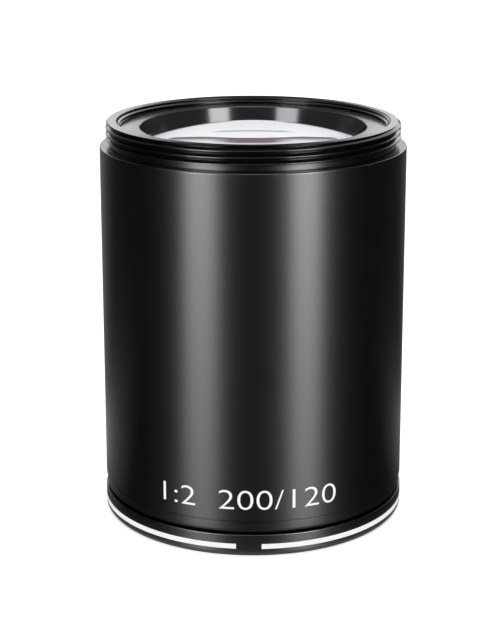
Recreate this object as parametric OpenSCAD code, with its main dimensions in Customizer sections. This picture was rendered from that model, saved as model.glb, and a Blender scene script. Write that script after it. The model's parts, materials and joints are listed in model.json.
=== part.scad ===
// Low-power plan-apochromatic main objective for a parallel-beam stereo microscope.
// It stands on its nose: +Z is the optical axis, away from the specimen, and the
// mount thread is on top. The gap in the white band faces -Y.
// Every diameter follows from the barrel's through named walls, steps and lands.

/* [Barrel] */
// Outside diameter of the barrel
barrel_d = 75; // [65:0.5:90]
// Height of the plain cylindrical wall, from the collar seam to the mount shoulder
barrel_h = 83.9; // [76:0.1:110]
// Chamfer on the edges of the wall
edge_chamfer = 0.2; // [0.1:0.05:0.6]
// Wall round the rear cell
rear_wall = 5.5; // [4.5:0.1:7]
// Wall round the middle and front cells
front_wall = 6.5; // [5:0.1:8]
// Width of the lip that stands in from that wall
lip_w = 3; // [1.5:0.1:4]
// Thickness of the lip, which both cells bear on
lip_t = 2.5; // [1.5:0.1:5]

/* [Mount thread] */
// Width of the shoulder outside the thread's major diameter
shoulder_w = 1.5; // [1:0.1:3]
// Height of the threaded length
thread_h = 4.4; // [3:0.1:10]
// Depth of the relief groove under the thread
neck_depth = 1.1; // [0.8:0.1:1.4]
// Height of the relief groove
neck_h = 1.6; // [0.8:0.1:3]
// Chamfer at the start of the thread
thread_chamfer = 0.45; // [0.2:0.05:1]
// Step from the rear cell's bore out to the female thread inside the rim
rim_step = 0.75; // [0.5:0.05:1.2]
// Lead-in chamfer of that female thread
rim_chamfer = 0.7; // [0.3:0.05:1]

/* [Rear retaining ring] */
// Depth of the ring's face below the rim
ring_drop = 1.6; // [0.5:0.1:3]
// How far the ring reaches in over the lens
ring_bite = 2.3; // [1:0.1:4]
// How much wider the conical bore is at its mouth, on the radius
ring_flare = 1; // [0.4:0.05:1.8]
// Bright chamfer round the mouth of the bore
ring_chamfer = 0.15; // [0.1:0.05:0.4]

/* [Rear lens group] */
// Depth of the lens apex below the rim
apex_drop = 1.6; // [0.3:0.1:2]
// Wall of the rear cell round the cemented doublet
rear_cell_wall = 3; // [2:0.1:5]
// Thickness of the crown on the axis
rear_crown_t = 12.2; // [10:0.1:16]
// Radius of the crown's exposed face
rear_crown_top_r = 85; // [70:0.5:100]
// Radius of the cemented face
rear_cement_r = 300; // [200:1:600]
// Thickness of the flint on the axis
rear_flint_t = 4; // [3:0.1:6]
// Radius of the flint's hollow lower face
rear_flint_low_r = 400; // [250:1:800]
// Flat land outside that face
rear_flint_land = 2; // [1:0.1:3]
// Air space on the axis between the doublet and the meniscus
rear_air = 3; // [2:0.1:5]
// Step in from the doublet's rim to the meniscus's rim
meniscus_step = 2; // [1:0.1:4]
// Thickness of the meniscus on the axis
meniscus_t = 7; // [5:0.1:9]
// Radius of the meniscus's domed upper face
meniscus_top_r = 67; // [54:0.5:90]
// Radius of the meniscus's hollow lower face
meniscus_low_r = 47; // [34:0.5:80]
// Flat land outside that face
meniscus_land = 3; // [2:0.1:5]
// How far the rear spacer ring reaches in over the meniscus
spacer_bite = 1.8; // [1:0.1:3]

/* [Middle lens group] */
// Depth of the retaining ring below the middle cell's upper face
middle_ring_drop = 3.8; // [2:0.1:6]
// Wall of the middle cell round the doublet
middle_cell_wall = 5; // [4:0.1:7]
// Thickness of the flint on the axis
middle_flint_t = 5; // [3:0.1:7]
// Radius of the flint's hollow upper face
middle_flint_top_r = 300; // [200:1:600]
// Flat land outside that face
middle_flint_land = 2; // [1:0.1:4]
// Radius of the cemented face
middle_cement_r = 250; // [150:1:600]
// Thickness of the crown on the axis
middle_crown_t = 10; // [8:0.1:12]
// Radius of the crown's lower face
middle_crown_low_r = 138; // [110:1:300]
// How far the cell's floor reaches in under the crown
middle_bite = 1.7; // [1:0.1:4]

/* [Front lens group] */
// Height of the front lens's lowest point above the nose face
front_recess = 5.9; // [5:0.1:9]
// Wall of the front cell round the doublet
front_cell_wall = 4; // [3.2:0.1:6]
// Thickness of the flint on the axis
front_flint_t = 4; // [3:0.1:6]
// Radius of the flint's hollow upper face
front_flint_top_r = 500; // [300:1:900]
// Flat land outside that face
front_flint_land = 2; // [1:0.1:4]
// Radius of the cemented face
front_cement_r = 183; // [140:1:400]
// Thickness of the crown on the axis
front_crown_t = 8; // [6.5:0.1:10]
// Radius of the crown's lower face
front_crown_low_r = 212; // [150:1:400]
// How far the cell's floor reaches in under the crown
front_bite = 1.5; // [1:0.1:4]

/* [Cells and spacers] */
// Thickness of the rear and middle cells' floors
cell_floor_t = 2; // [1.2:0.1:3]
// Thickness of the front cell's floor
front_floor_t = 1.2; // [0.8:0.1:1.6]
// Step out from a lens's rim to the female thread of its cell
cell_thread_step = 1.8; // [1.2:0.1:2.2]
// Height of the middle and front retaining rings
inner_ring_h = 3; // [2:0.1:4]
// Distance from a lens's clear face out to the bore of its retaining ring
inner_ring_set = 0.5; // [0.2:0.1:0.9]
// Cone of that bore, on the radius
inner_ring_cone = 1; // [0.5:0.1:1.5]
// Width of the spanner slots in those rings
slot_w = 2; // [1:0.1:3]
// Depth of the spanner slots
slot_depth = 1.2; // [0.5:0.1:1.6]
// Height of the front cell above its ring
front_cell_rim = 1; // [0.5:0.1:3]
// Thickness of the brass shim that sets the air space
shim_t = 0.4; // [0.1:0.05:1]
// Thickness of the glare stop
stop_t = 0.6; // [0.3:0.1:1.5]
// Width of the glare stop
stop_w = 5; // [2:0.1:8]
// Wall of the spacer tube
spacer_wall = 3; // [2:0.1:4]
// Pitch of the glare grooves inside the spacer tube
groove_pitch = 1.5; // [1:0.1:3]
// Depth of those grooves
groove_depth = 0.8; // [0.3:0.1:1.4]

/* [Collar and nose ring] */
// How far the nose ring's wall stands out from the barrel's
nose_proud = 0.1; // [0:0.05:0.5]
// Height of the nose ring
nose_h = 5.45; // [4.2:0.05:8]
// Chamfer on the ring's upper edge
nose_top_chamfer = 0.15; // [0.1:0.05:0.5]
// Chamfer on the ring's lower edge
nose_low_chamfer = 0.8; // [0.3:0.05:1.2]
// Dark gap between the nose ring and the collar
nose_gap = 0.4; // [0.2:0.05:1]
// Height of the collar between the gap and the seam
collar_h = 2.95; // [2:0.05:6]
// How far the collar's wall stands in from the barrel's
collar_inset = 0.2; // [0.1:0.05:0.6]
// Radius of the collar's rounded lower edge
collar_round = 1; // [0.5:0.1:1.5]
// How far the collar's spigot stands in from the barrel's wall
spigot_inset = 3; // [2.4:0.1:4]
// Wall of that spigot
spigot_wall = 3.5; // [2:0.1:4]
// Wall of the collar's threaded length inside the barrel
collar_wall = 2; // [1.5:0.1:3]
// Length of that thread
collar_engage = 8; // [5:0.1:10]
// Relief beyond its end
thread_relief = 0.5; // [0.3:0.1:2]
// Width of the collar's lip, which the front cell stands on
collar_lip_w = 2.5; // [1.5:0.1:3.5]
// Thickness of that lip
collar_lip_t = 1.8; // [1:0.1:2.2]
// Thickness of the nose ring's floor
nose_floor_t = 2; // [1:0.1:2.4]
// How much wider the nose opening is at the nose face, on the radius
nose_flare = 1.5; // [0:0.1:2.5]

/* [White band] */
// Height of the band's lower edge above the nose face
band_z = 1.95; // [1.3:0.05:2.2]
// Width of the band
band_w = 1.25; // [0.8:0.05:2]
// Depth of the paint in its groove
band_depth = 0.15; // [0.1:0.05:0.4]
// Width of the gap at the front
band_gap_w = 6.1; // [3:0.1:15]

/* [Fits] */
// Radial clearance of the cells, stop, shim and tube in the barrel
cell_fit = 0.02; // [0.01:0.01:0.05]
// Radial clearance of the glass in its cell
glass_fit = 0.03; // [0.01:0.01:0.06]
// Radial clearance left for the fine threads
thread_fit = 0.1; // [0.05:0.01:0.15]
// Axial relief where a step must stay clear of the piece above it
step_relief = 0.3; // [0.1:0.05:0.5]

/* [Hidden] */
$fn = 180;

// Fine division for the large arcs of the lens faces
disc_fn = 1440;

// Overshoot of a cutting solid past the face that it opens
over = 1;

// Diameters, from the barrel's wall inwards
thread_d = barrel_d - 2 * shoulder_w;
neck_d = thread_d - 2 * neck_depth;
rear_bore_d = barrel_d - 2 * rear_wall;
rim_bore_d = rear_bore_d + 2 * rim_step;
front_bore_d = barrel_d - 2 * front_wall;
lip_hole_d = front_bore_d - 2 * lip_w;
rear_lens_d = rear_bore_d - 2 * rear_cell_wall;
ring_seat_d = rear_lens_d - 2 * ring_bite;
ring_mouth_d = ring_seat_d + 2 * ring_flare;
rear_flint_clear_d = rear_lens_d - 2 * rear_flint_land;
meniscus_d = rear_lens_d - 2 * meniscus_step;
meniscus_clear_d = meniscus_d - 2 * meniscus_land;
rear_spacer_seat_d = meniscus_d - 2 * spacer_bite;
middle_lens_d = front_bore_d - 2 * middle_cell_wall;
middle_flint_clear_d = middle_lens_d - 2 * middle_flint_land;
middle_seat_d = middle_lens_d - 2 * middle_bite;
middle_thread_d = middle_lens_d + 2 * cell_thread_step;
front_lens_d = front_bore_d - 2 * front_cell_wall;
front_flint_clear_d = front_lens_d - 2 * front_flint_land;
front_seat_d = front_lens_d - 2 * front_bite;
front_thread_d = front_lens_d + 2 * cell_thread_step;
stop_hole_d = front_bore_d - 2 * stop_w;
nose_d = barrel_d + 2 * nose_proud;
collar_d = barrel_d - 2 * collar_inset;
spigot_d = barrel_d - 2 * spigot_inset;
nose_hole_d = spigot_d - 2 * spigot_wall;
nose_mouth_d = nose_hole_d + 2 * nose_flare;
collar_thread_d = front_bore_d + 2 * collar_wall;
collar_hole_d = front_bore_d - 2 * collar_lip_w;

// Heights on the outside
collar_z = nose_h + nose_gap;
seam_z = collar_z + collar_h;
shoulder_z = seam_z + barrel_h;
thread_z = shoulder_z + neck_h;
rim_z = thread_z + thread_h;

// Height of a spherical face at a given distance from the axis. Its radius is
// positive where the centre of curvature lies below.
function face_z(vertex, curve_r, at_r) =
    vertex - sign(curve_r) * (abs(curve_r) - sqrt(curve_r * curve_r - at_r * at_r));

// Rear group, counted down from the rim
rear_apex_z = rim_z - apex_drop;
rear_cement_z = rear_apex_z - rear_crown_t;
rear_flint_low_z = rear_cement_z - rear_flint_t;
rear_land_z = face_z(rear_flint_low_z, rear_flint_low_r, rear_flint_clear_d / 2);
meniscus_top_z = rear_flint_low_z - rear_air;
meniscus_low_z = meniscus_top_z - meniscus_t;
meniscus_land_z = face_z(meniscus_low_z, meniscus_low_r, meniscus_clear_d / 2);
ring_seat_z = face_z(rear_apex_z, rear_crown_top_r, ring_seat_d / 2);
spacer_seat_z = face_z(meniscus_top_z, meniscus_top_r, rear_spacer_seat_d / 2);
rear_cell_top_z = ring_seat_z - step_relief;
lip_top_z = meniscus_land_z - cell_floor_t;
lip_low_z = lip_top_z - lip_t;

// Middle group, hung under the lip
middle_cell_top_z = lip_low_z - shim_t;
middle_land_z = middle_cell_top_z - middle_ring_drop - inner_ring_h;
middle_top_z = middle_land_z - face_z(0, -middle_flint_top_r, middle_flint_clear_d / 2);
middle_cement_z = middle_top_z - middle_flint_t;
middle_low_z = middle_cement_z - middle_crown_t;
middle_seat_z = face_z(middle_low_z, -middle_crown_low_r, middle_seat_d / 2);
middle_cell_low_z = middle_seat_z - cell_floor_t;
stop_low_z = middle_cell_low_z - stop_t;

// Front group, counted up from the nose
front_cement_z = front_recess + front_crown_t;
front_top_z = front_cement_z + front_flint_t;
front_land_z = face_z(front_top_z, -front_flint_top_r, front_flint_clear_d / 2);
front_seat_z = face_z(front_recess, -front_crown_low_r, front_seat_d / 2);
front_cell_low_z = front_seat_z - front_floor_t;
front_cell_top_z = front_land_z + inner_ring_h + front_cell_rim;
spacer_low_z = front_cell_top_z;
collar_lip_low_z = front_cell_low_z - collar_lip_t;

// Colours
black = [0.07, 0.07, 0.08];
dull_black = [0.12, 0.12, 0.13];
bright_black = [0.2, 0.2, 0.22];
glass = [0.78, 0.86, 0.95, 0.45];

// A turned piece: a profile of [radius, height] points, spun about the axis
module turned(profile)
    rotate_extrude()
        polygon(profile);

// A plain ring between two heights
module ring(outer_r, inner_r, low_z, high_z)
    turned([[inner_r, low_z], [outer_r, low_z], [outer_r, high_z], [inner_r, high_z]]);

// The points of a rounded lower edge, from the underside up to the wall
function rounded_edge(outer_r, low_z, edge_r) = [
    for (turn = [0 : 15 : 90])
        [outer_r - edge_r + edge_r * sin(turn), low_z + edge_r - edge_r * cos(turn)]
];

// The section of a sphere whose surface passes through a vertex on the axis
module disc(vertex, curve_r)
    translate([0, vertex - curve_r])
        circle(r = abs(curve_r), $fn = disc_fn);

// A lens with true spherical faces; a hollow face ends at a flat land outside its clear diameter
module lens(top_z, thickness, top_r, low_r, rim_d, top_clear_d, low_clear_d) {
    low_z = top_z - thickness;
    blank_top_z = top_r > 0 ? top_z : face_z(top_z, top_r, top_clear_d / 2);
    blank_low_z = low_r < 0 ? low_z : face_z(low_z, low_r, low_clear_d / 2);
    rotate_extrude()
        difference() {
            intersection() {
                translate([0, blank_low_z])
                    square([rim_d / 2, blank_top_z - blank_low_z]);
                if (top_r > 0) disc(top_z, top_r);
                if (low_r < 0) disc(low_z, low_r);
            }
            if (top_r < 0) disc(top_z, top_r);
            if (low_r > 0) disc(low_z, low_r);
        }
}

// Two spanner slots across the top face of a ring
module spanner_slots(outer_r, top_z)
    translate([-outer_r - over, -slot_w / 2, top_z - slot_depth])
        cube([2 * (outer_r + over), slot_w, slot_depth + over]);

// A retaining ring with a conical bore and two spanner slots
module slotted_ring(thread_bore_d, lens_clear_d, low_z) {
    outer_r = thread_bore_d / 2 - thread_fit;
    top_z = low_z + inner_ring_h;
    low_r = lens_clear_d / 2 + inner_ring_set;
    top_r = low_r + inner_ring_cone;
    difference() {
        turned([[low_r, low_z], [outer_r, low_z], [outer_r, top_z], [top_r, top_z]]);
        spanner_slots(outer_r, top_z);
    }
}

// Barrel: one turned body with the mount thread's form, the lip and all three bores
module main_barrel() {
    wall_r = barrel_d / 2;
    thread_r = thread_d / 2;
    neck_r = neck_d / 2;
    rear_r = rear_bore_d / 2;
    front_r = front_bore_d / 2;
    lip_r = lip_hole_d / 2;
    rim_r = rim_bore_d / 2;
    collar_r = collar_thread_d / 2;
    relief_z = seam_z + collar_engage + thread_relief;
    color(black)
        turned([
            [collar_r, seam_z],
            [wall_r - edge_chamfer, seam_z],
            [wall_r, seam_z + edge_chamfer],
            [wall_r, shoulder_z - edge_chamfer],
            [wall_r - edge_chamfer, shoulder_z],
            [neck_r, shoulder_z],
            [neck_r, thread_z],
            [thread_r, thread_z],
            [thread_r, rim_z - thread_chamfer],
            [thread_r - thread_chamfer, rim_z],
            [rim_r + rim_chamfer, rim_z],
            [rim_r, rim_z - rim_chamfer],
            [rim_r, rear_cell_top_z],
            [rear_r, rear_cell_top_z],
            [rear_r, lip_top_z],
            [lip_r, lip_top_z],
            [lip_r, lip_low_z],
            [front_r, lip_low_z],
            [front_r, relief_z],
            [collar_r, relief_z]
        ]);
}

// Rear retaining ring: its conical bore frames the top lens and bears on it
module rear_retaining_ring() {
    outer_r = rim_bore_d / 2 - thread_fit;
    mouth_r = ring_mouth_d / 2;
    face_height = rim_z - ring_drop;
    color(bright_black)
        turned([
            [ring_seat_d / 2, ring_seat_z],
            [outer_r, ring_seat_z],
            [outer_r, face_height],
            [mouth_r + ring_chamfer, face_height],
            [mouth_r, face_height - ring_chamfer]
        ]);
}

// Rear cell: a cup for the doublet, the spacer and the meniscus
module rear_cell() {
    outer_r = rear_bore_d / 2 - cell_fit;
    doublet_r = rear_lens_d / 2 + glass_fit;
    meniscus_r = meniscus_d / 2 + glass_fit;
    step_z = spacer_seat_z - step_relief;
    color(dull_black)
        turned([
            [meniscus_clear_d / 2, meniscus_land_z],
            [meniscus_clear_d / 2, lip_top_z],
            [outer_r, lip_top_z],
            [outer_r, rear_cell_top_z],
            [doublet_r, rear_cell_top_z],
            [doublet_r, step_z],
            [meniscus_r, step_z],
            [meniscus_r, meniscus_land_z]
        ]);
}

module rear_crown_lens()
    color(glass)
        lens(rear_apex_z, rear_crown_t, rear_crown_top_r, rear_cement_r,
            rear_lens_d, rear_lens_d, rear_lens_d);

module rear_flint_lens()
    color(glass)
        lens(rear_cement_z, rear_flint_t, rear_cement_r, rear_flint_low_r,
            rear_lens_d, rear_lens_d, rear_flint_clear_d);

// Rear spacer ring: flat on the doublet's land, edge on the meniscus's upper face
module rear_spacer_ring() {
    outer_r = rear_lens_d / 2 - glass_fit;
    color(dull_black)
        turned([
            [rear_spacer_seat_d / 2, spacer_seat_z],
            [outer_r, spacer_seat_z],
            [outer_r, rear_land_z],
            [rear_flint_clear_d / 2, rear_land_z]
        ]);
}

module rear_meniscus_lens()
    color(glass)
        lens(meniscus_top_z, meniscus_t, meniscus_top_r, meniscus_low_r,
            meniscus_d, meniscus_d, meniscus_clear_d);

module focus_shim()
    color([0.8, 0.65, 0.3])
        ring(front_bore_d / 2 - cell_fit, lip_hole_d / 2, middle_cell_top_z, lip_low_z);

// Middle cell: a cup for the middle doublet and its retaining ring
module middle_cell() {
    outer_r = front_bore_d / 2 - cell_fit;
    lens_r = middle_lens_d / 2 + glass_fit;
    thread_r = middle_thread_d / 2;
    step_z = middle_land_z - step_relief;
    color(dull_black)
        turned([
            [middle_seat_d / 2, middle_seat_z],
            [middle_seat_d / 2, middle_cell_low_z],
            [outer_r, middle_cell_low_z],
            [outer_r, middle_cell_top_z],
            [thread_r, middle_cell_top_z],
            [thread_r, step_z],
            [lens_r, step_z],
            [lens_r, middle_seat_z]
        ]);
}

module middle_retaining_ring()
    color(dull_black)
        slotted_ring(middle_thread_d, middle_flint_clear_d, middle_land_z);

module middle_flint_lens()
    color(glass)
        lens(middle_top_z, middle_flint_t, -middle_flint_top_r, middle_cement_r,
            middle_lens_d, middle_flint_clear_d, middle_lens_d);

module middle_crown_lens()
    color(glass)
        lens(middle_cement_z, middle_crown_t, middle_cement_r, -middle_crown_low_r,
            middle_lens_d, middle_lens_d, middle_lens_d);

module glare_stop()
    color(dull_black)
        ring(front_bore_d / 2 - cell_fit, stop_hole_d / 2, stop_low_z, middle_cell_low_z);

// Spacer tube: its bore is turned into saw-tooth grooves that trap stray light
module spacer_tube() {
    outer_r = front_bore_d / 2 - cell_fit;
    bore_r = outer_r - spacer_wall;
    count = floor((stop_low_z - spacer_low_z) / groove_pitch);
    teeth = [
        for (i = [0 : count - 1], tip = [1, 0])
            [bore_r + tip * groove_depth, stop_low_z - (i + 1 - tip) * groove_pitch]
    ];
    color(dull_black)
        turned(concat(
            [[outer_r, spacer_low_z], [outer_r, stop_low_z]],
            teeth,
            [[bore_r, spacer_low_z]]
        ));
}

// Front cell: a cup for the front doublet and its retaining ring
module front_cell() {
    outer_r = front_bore_d / 2 - cell_fit;
    lens_r = front_lens_d / 2 + glass_fit;
    thread_r = front_thread_d / 2;
    step_z = front_land_z - step_relief;
    color(dull_black)
        turned([
            [front_seat_d / 2, front_seat_z],
            [front_seat_d / 2, front_cell_low_z],
            [outer_r, front_cell_low_z],
            [outer_r, front_cell_top_z],
            [thread_r, front_cell_top_z],
            [thread_r, step_z],
            [lens_r, step_z],
            [lens_r, front_seat_z]
        ]);
}

module front_retaining_ring()
    color(dull_black)
        slotted_ring(front_thread_d, front_flint_clear_d, front_land_z);

module front_flint_lens()
    color(glass)
        lens(front_top_z, front_flint_t, -front_flint_top_r, front_cement_r,
            front_lens_d, front_flint_clear_d, front_lens_d);

module front_crown_lens()
    color(glass)
        lens(front_cement_z, front_crown_t, front_cement_r, -front_crown_low_r,
            front_lens_d, front_lens_d, front_lens_d);

// Front collar: a rounded band shows, with a thread into the barrel and a spigot for the nose ring
module front_collar() {
    wall_r = collar_d / 2;
    thread_r = collar_thread_d / 2 - thread_fit;
    bore_r = front_bore_d / 2;
    hole_r = collar_hole_d / 2;
    color(black)
        turned([
            [nose_hole_d / 2, nose_floor_t],
            [spigot_d / 2, nose_floor_t],
            [spigot_d / 2, collar_z],
            each rounded_edge(wall_r, collar_z, collar_round),
            [wall_r, seam_z],
            [thread_r, seam_z],
            [thread_r, seam_z + collar_engage],
            [bore_r, seam_z + collar_engage],
            [bore_r, front_cell_low_z],
            [hole_r, front_cell_low_z],
            [hole_r, collar_lip_low_z]
        ]);
}

// The band's form: a thin hoop with its gap at the front
module band_hoop(outer_r)
    difference() {
        ring(outer_r, nose_d / 2 - band_depth, band_z, band_z + band_w);
        translate([-band_gap_w / 2, -nose_d, band_z - over])
            cube([band_gap_w, nose_d, band_w + 2 * over]);
    }

// Nose ring: it screws onto the collar's spigot and carries the band
module nose_ring() {
    outer_r = nose_d / 2;
    color(black)
        difference() {
            turned([
                [nose_mouth_d / 2, 0],
                [outer_r - nose_low_chamfer, 0],
                [outer_r, nose_low_chamfer],
                [outer_r, nose_h - nose_top_chamfer],
                [outer_r - nose_top_chamfer, nose_h],
                [spigot_d / 2 + thread_fit, nose_h],
                [spigot_d / 2 + thread_fit, nose_floor_t],
                [nose_hole_d / 2, nose_floor_t]
            ]);
            band_hoop(outer_r + over);
        }
}

module white_band()
    color("white")
        band_hoop(nose_d / 2);

main_barrel();
rear_retaining_ring();
rear_cell();
rear_crown_lens();
rear_flint_lens();
rear_spacer_ring();
rear_meniscus_lens();
focus_shim();
middle_cell();
middle_retaining_ring();
middle_flint_lens();
middle_crown_lens();
glare_stop();
spacer_tube();
front_cell();
front_retaining_ring();
front_flint_lens();
front_crown_lens();
front_collar();
nose_ring();
white_band();
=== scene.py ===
import json
import math

import bmesh
import bpy
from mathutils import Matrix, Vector

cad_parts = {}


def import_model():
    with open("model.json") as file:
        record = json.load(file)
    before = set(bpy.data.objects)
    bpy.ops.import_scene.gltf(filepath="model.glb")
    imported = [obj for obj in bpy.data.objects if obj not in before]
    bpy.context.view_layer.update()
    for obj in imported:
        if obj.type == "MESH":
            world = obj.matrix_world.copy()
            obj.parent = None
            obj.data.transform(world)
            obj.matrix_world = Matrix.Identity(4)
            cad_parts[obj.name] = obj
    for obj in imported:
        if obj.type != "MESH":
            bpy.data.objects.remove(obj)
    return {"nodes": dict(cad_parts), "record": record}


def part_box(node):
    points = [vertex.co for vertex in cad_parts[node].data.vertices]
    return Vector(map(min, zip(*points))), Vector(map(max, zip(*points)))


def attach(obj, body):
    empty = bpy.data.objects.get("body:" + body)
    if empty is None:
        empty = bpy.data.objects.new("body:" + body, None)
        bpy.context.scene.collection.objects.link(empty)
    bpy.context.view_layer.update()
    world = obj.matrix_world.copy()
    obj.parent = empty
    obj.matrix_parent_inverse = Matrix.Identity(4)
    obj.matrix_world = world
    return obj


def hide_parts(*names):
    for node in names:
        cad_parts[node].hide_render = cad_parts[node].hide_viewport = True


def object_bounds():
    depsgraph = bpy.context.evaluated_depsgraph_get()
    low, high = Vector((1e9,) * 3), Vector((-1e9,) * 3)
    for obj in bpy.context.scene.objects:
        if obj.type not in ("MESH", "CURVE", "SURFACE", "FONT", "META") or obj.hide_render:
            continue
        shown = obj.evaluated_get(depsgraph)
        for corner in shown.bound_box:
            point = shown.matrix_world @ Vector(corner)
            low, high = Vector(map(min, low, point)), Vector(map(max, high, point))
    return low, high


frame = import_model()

CAD_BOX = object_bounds()
MM = 0.001

# Sizes are in millimetres unless a comment says otherwise, and follow the solids. In the names,
# R is a radius, Z a height over the floor, H a height along the axis, W a width across it and T a
# thickness.

# Barrel
RIM_Z = CAD_BOX[1].z / MM
WALL_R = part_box("main_barrel")[1].x / MM
SEAM_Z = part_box("main_barrel")[0].z / MM
EDGE_CHAMFER = 0.2
EDGE_ROUND = 0.32
BARREL_EDGE = 0.06       # radius of the other edges
REAR_BORE_R = WALL_R - 5.5
FRONT_BORE_R = WALL_R - 6.5
LIP_R = FRONT_BORE_R - 3

# Shoulder, neck and mount thread
SHOULDER_W = 1.5
THREAD_H = 4.4
NECK_H = 1.6
NECK_DEPTH = 1.1
THREAD_Z = RIM_Z - THREAD_H
SHOULDER_Z = THREAD_Z - NECK_H
THREAD_R = WALL_R - SHOULDER_W
NECK_R = THREAD_R - NECK_DEPTH
UNDERCUT = 0.4           # fine groove in the corner between neck and shoulder
UNDERCUT_H = 0.22
THREAD_PITCH = 1.5
THREAD_DEPTH = 0.92
THREAD_CREST = 0.22      # width of the flat crest
THREAD_ROOT = 0.03       # width of the flat root
THREAD_ROUND = 0.04      # how far each crest corner is cut back
THREAD_CHAMFER = 0.45
CREST_Z = 95.95          # height of a crest at the front

# Thread inside the rim
RIM_BORE_R = REAR_BORE_R + 0.75
RIM_CHAMFER = 0.7
RIM_PITCH = 0.75
RIM_THREAD_DEPTH = 0.42
RIM_THREAD_CREST = 0.12
RIM_THREAD_ROOT = 0.03
RIM_THREAD_ROUND = 0.035
RIM_CREST_Z = RIM_Z - 0.7
RING_DROP = 1.6          # from the rim down to the face of the retaining ring
RIM_THREAD_Z = RIM_Z - RING_DROP - 1.5    # low end, behind the ring

# Rear retaining ring
REAR_LENS_R = REAR_BORE_R - 3
RING_BITE = 2.3          # how far it reaches in over the lens
RING_SEAT_R = REAR_LENS_R - RING_BITE
RING_MOUTH_R = RING_SEAT_R + 1
RING_CHAMFER = 0.15
RING_PLAY = 0.02
RING_EDGE = 0.04

# Nose ring
NOSE_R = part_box("nose_ring")[1].x / MM
NOSE_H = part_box("nose_ring")[1].z / MM
NOSE_LOW_CHAMFER = 0.8
NOSE_LOW_ROUND = 1.2
NOSE_TOP_ROUND = 0.25
NOSE_EDGE = 0.05
NOSE_FLOOR = 2.0
SPIGOT_R = WALL_R - 3
NOSE_HOLE_R = SPIGOT_R - 3.5
NOSE_MOUTH_R = NOSE_HOLE_R + 1.5
THREAD_FIT = 0.1

# Front collar
COLLAR_Z = NOSE_H + 0.4
COLLAR_TOP_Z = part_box("front_collar")[1].z / MM
COLLAR_R = WALL_R - 0.2
COLLAR_ROUND = 1.0
COLLAR_STEPS = 12
COLLAR_EDGE = 0.04
COLLAR_THREAD_R = FRONT_BORE_R + 2
COLLAR_HOLE_R = FRONT_BORE_R - 2.5
COLLAR_LIP_T = 1.8
FRONT_CELL_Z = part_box("front_cell")[0].z / MM
THREAD_RELIEF = 0.5      # room in the barrel over the collar's thread
SEAM_SLOT = 0.2          # height of the fine dark line between collar and barrel
SEAM_DEPTH = 0.25

# White band
BAND_Z = 1.95
BAND_H = 1.25
BAND_DEPTH = 0.15
BAND_PROUD = 0.02
BAND_GAP = 6.1
BAND_EDGE = 0.01

# Lenses: thicknesses, the gap over the meniscus, and the curves of cemented faces
REAR_CROWN_T = 12.2
REAR_FLINT_T = 4
MENISCUS_GAP = 3
MENISCUS_T = 7
MIDDLE_FLINT_T = 5
MIDDLE_CROWN_T = 10
FRONT_CROWN_T = 8
FRONT_FLINT_T = 4
REAR_CEMENT_CURVE = 300
MIDDLE_TOP_CURVE = -300
MIDDLE_CLEAR_R = 24
MIDDLE_CEMENT_CURVE = 250
FRONT_CEMENT_CURVE = 183
CEMENT = 0.01            # overlap of cemented faces, so that no gap shows between them
LENS_SEGMENTS = 180
COATING_NM = 100.0       # thin film on the glass, in nanometres
COATING_INDEX = 1.38
RIM_PAINT_T = 0.05       # black paint on the rim of each lens
RIM_PAINT = (0.006, 0.006, 0.006)

# Plain numbers on the wall, in the place of the photo's lettering
LABEL_TEXT = "1:2  200/120"
LABEL_BASE_Z = 11.9
LABEL_HEIGHT = 4.8
LABEL_ARC = 43.5
LABEL_PROUD = 0.02
LABEL_THINNING = 0.012   # taken off the strokes, as a share of the letter size
LABEL_THICKNESS = 0.004  # before it is set to LABEL_PROUD over and under the wall
LABEL_CUTS = 96          # strips in which the flat letters are bent round the wall

# Divisions round the axis
SEGMENTS = 360

# Finish: a slow change of the sheen and a fine blasted grain, in cycles per metre
CLOUD_SCALE = 90.0
GRAIN_SCALE = 5200.0
GRAIN_STRENGTH = 0.35

# Smooth turned faces and edges, by height: nose ring, shoulder, then threads and rim
SMOOTH_BANDS = [
    (NOSE_H - 0.22, NOSE_H + 0.1),
    (SHOULDER_Z - 0.25, SHOULDER_Z + 0.06),
    (THREAD_Z - 0.05, RIM_Z + 0.8),
]
SMOOTH_BLUR = 0.05       # half the height over which the finish changes
SMOOTH_SHARE = 0.5       # share of the wall's roughness and grain that they keep
SMOOTH_TURNING = 0.05    # how strongly turning marks show on them

# Tones of the painted glare on the dome, a painted reflection with the painted ghost of the cell in
# it. The stops run from the far edge of the ghost to its near edge.
GLARE_LEVEL = 0.9
GLARE_COLOUR = (0.79, 0.81, 0.85)
GLARE_STOPS = [
    (0.0, (0.80, 0.84, 0.88)), (0.30, (0.82, 0.84, 0.87)), (0.56, (0.84, 0.85, 0.88)),
    (0.593, (0.90, 0.91, 0.93)), (0.608, (0.13, 0.08, 0.105)), (0.70, (0.16, 0.11, 0.135)),
    (0.768, (0.17, 0.12, 0.145)), (0.790, (0.62, 0.63, 0.65)), (1.0, (0.72, 0.73, 0.75)),
]
# painted light and shade in the glare: the tone of the thin dark line, of the paler flanks, and of
# the dark skyline and edge
LINE_TONE = (0.28, 0.30, 0.32)
PALE_TONE = (0.63, 0.64, 0.66)
BRINK_TONE = (0.11, 0.11, 0.12)
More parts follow.
